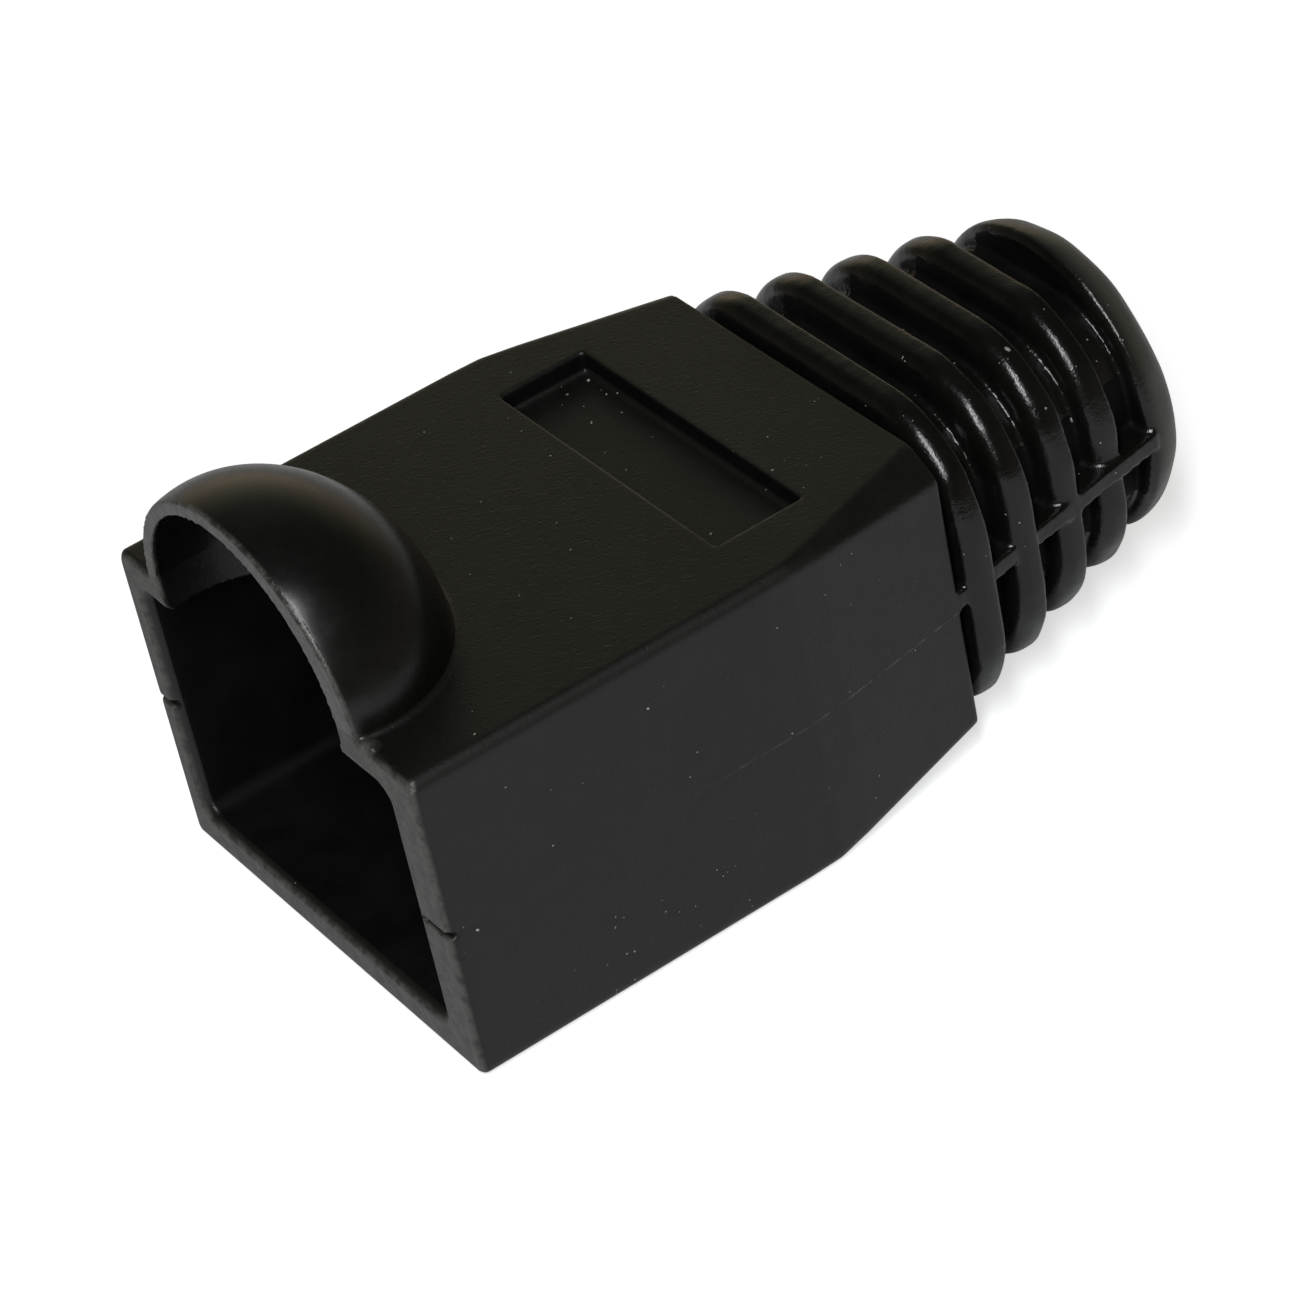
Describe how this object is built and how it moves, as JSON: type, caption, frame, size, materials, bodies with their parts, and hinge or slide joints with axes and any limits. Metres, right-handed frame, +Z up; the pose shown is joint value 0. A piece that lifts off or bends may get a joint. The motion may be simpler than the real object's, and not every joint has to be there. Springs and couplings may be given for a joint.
{
  "type": "rj45 strain relief boot",
  "caption": "Flexible moulded boot: an open box for a modular plug with a bubble hood over the latch, narrowing to a ribbed sleeve with a round bore for the cable.",
  "frame": {"origin": "on the base plane, under the middle of the boot's length and width", "axes": "+Y along the boot from the plug mouth to the cable end, +Z up through the hood, +X across"},
  "size_m": [0.014, 0.0254, 0.0136],
  "materials": {
    "boot_pvc": "fine spark-eroded texture on the box, satin hood, glossy ribbed sleeve"
  },
  "bodies": {
    "root": {"boot": "boot_pvc"}
  },
  "joints": []
}
